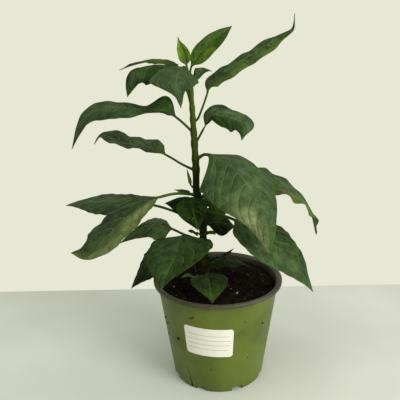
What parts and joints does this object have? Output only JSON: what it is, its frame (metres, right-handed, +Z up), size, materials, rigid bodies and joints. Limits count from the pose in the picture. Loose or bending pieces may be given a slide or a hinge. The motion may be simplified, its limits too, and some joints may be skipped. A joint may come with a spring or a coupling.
{
  "type": "potted chilli pepper plant",
  "caption": "Young chilli pepper plant with drooping pointed leaves on one upright stem, in a round tapered two-tone nursery pot with a blank label.",
  "frame": {"origin": "middle of the pot's foot, on the surface that it stands on", "axes": "+Z up along the pot's axis, -Y towards the label and the viewer, +X to the viewer's right"},
  "size_m": [0.2856, 0.1565, 0.3821],
  "materials": {
    "pot_plastic": "satin moulded plastic, olive green outside, dark grey-brown rim and inside",
    "label_paper": "smooth white sticker, blank",
    "potting_soil": "loose damp potting mix with pale bits",
    "stem_green": "satin green skin, browner at the foot",
    "leaf_green": "soft sheen, lighter veins",
    "young_leaf": "bright green, blistered between the veins"
  },
  "bodies": {
    "root": {"pot": "pot_plastic", "label": "label_paper", "soil": "potting_soil", "stem": "stem_green", "leaf_01": "young_leaf", "leaf_02": "young_leaf", "leaf_03": "leaf_green", "leaf_04": "leaf_green", "leaf_05": "leaf_green", "leaf_06": "leaf_green", "leaf_07": "leaf_green", "leaf_08": "leaf_green", "leaf_09": "leaf_green", "leaf_10": "leaf_green", "leaf_11": "leaf_green", "leaf_12": "leaf_green", "leaf_13": "leaf_green", "leaf_14": "leaf_green", "leaf_15": "leaf_green", "leaf_16": "leaf_green", "leaf_17": "leaf_green", "leaf_18": "leaf_green", "leaf_19": "leaf_green", "leaf_20": "leaf_green", "leaf_21": "leaf_green", "leaf_22": "leaf_green", "leaf_23": "leaf_green", "leaf_24": "leaf_green", "leaf_25": "leaf_green", "leaf_26": "leaf_green"}
  },
  "joints": []
}
